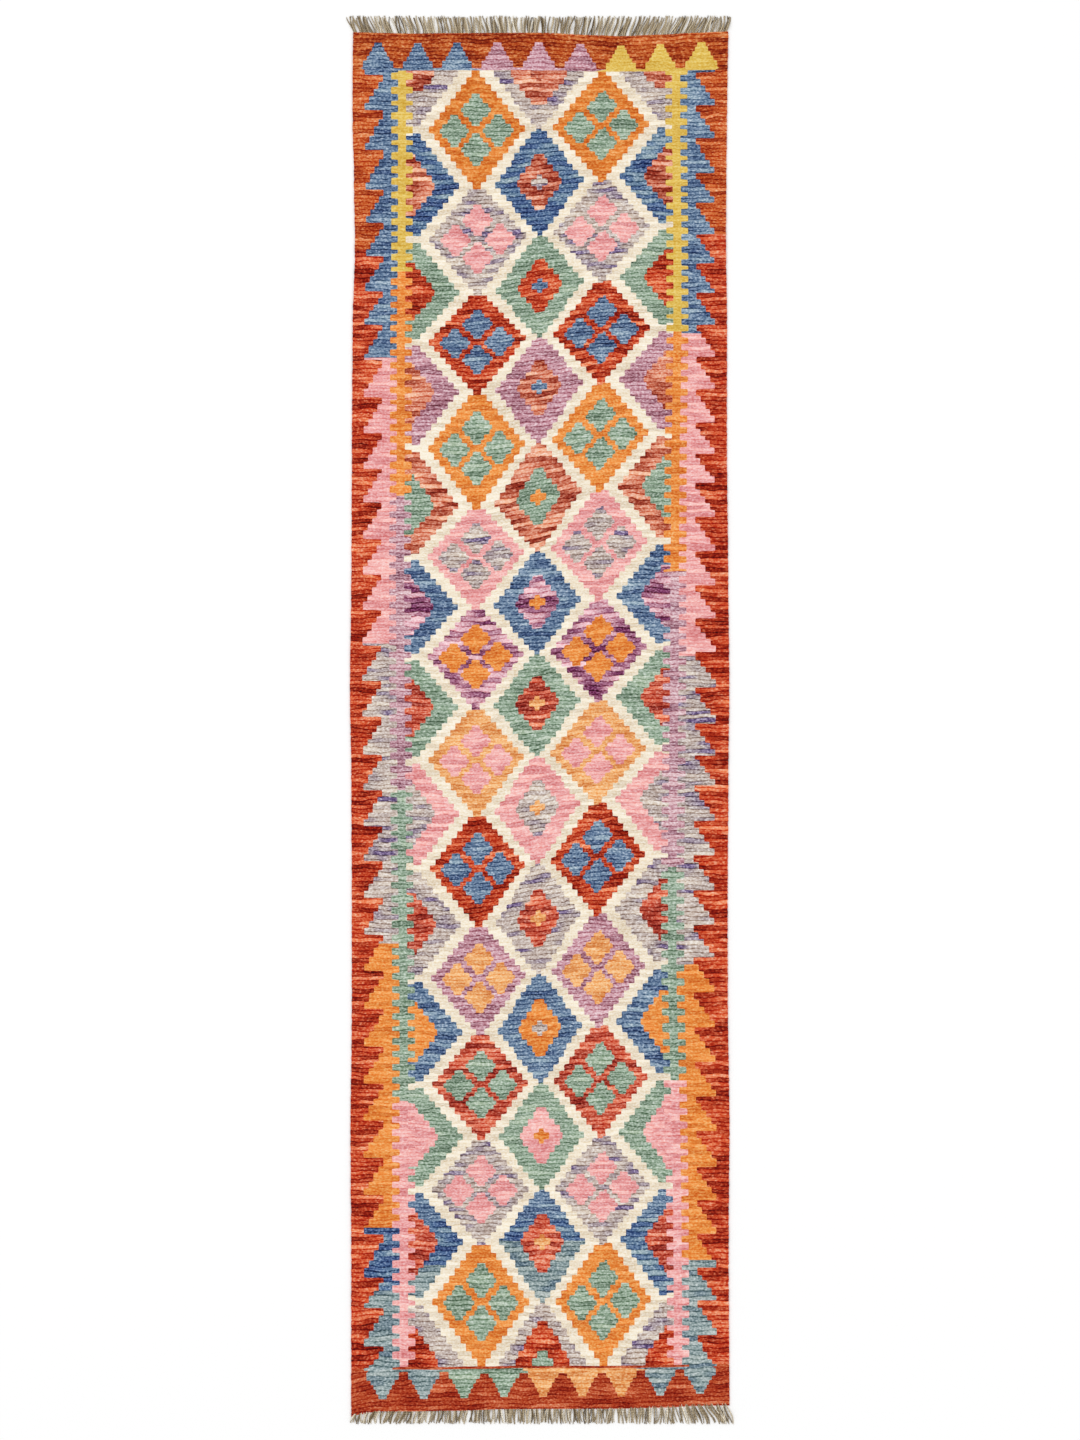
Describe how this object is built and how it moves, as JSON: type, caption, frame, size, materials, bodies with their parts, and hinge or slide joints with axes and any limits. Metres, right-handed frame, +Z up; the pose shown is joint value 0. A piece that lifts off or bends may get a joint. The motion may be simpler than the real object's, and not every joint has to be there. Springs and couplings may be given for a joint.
{
  "type": "kilim runner rug",
  "caption": "Flat-woven wool floor runner with stepped diamond columns, toothed bars and sawtooth side borders, and a short pale warp fringe at each end.",
  "frame": {"origin": "middle of the whole rug's footprint, fringes included, on its underside", "axes": "+X across the rug to the right, +Y along it towards the end with the longer fringe, +Z up out of its face"},
  "size_m": [0.8362, 3.0704, 0.003],
  "materials": {
    "woven_wool": "matte slit-tapestry wool in brick red, blue, green, orange, yellow, pink, mauve and ivory",
    "warp_fringe": "matte undyed warp yarn, natural grey beige"
  },
  "bodies": {
    "root": {"kilim": "woven_wool", "fringe_top": "warp_fringe", "fringe_bottom": "warp_fringe"}
  },
  "joints": []
}
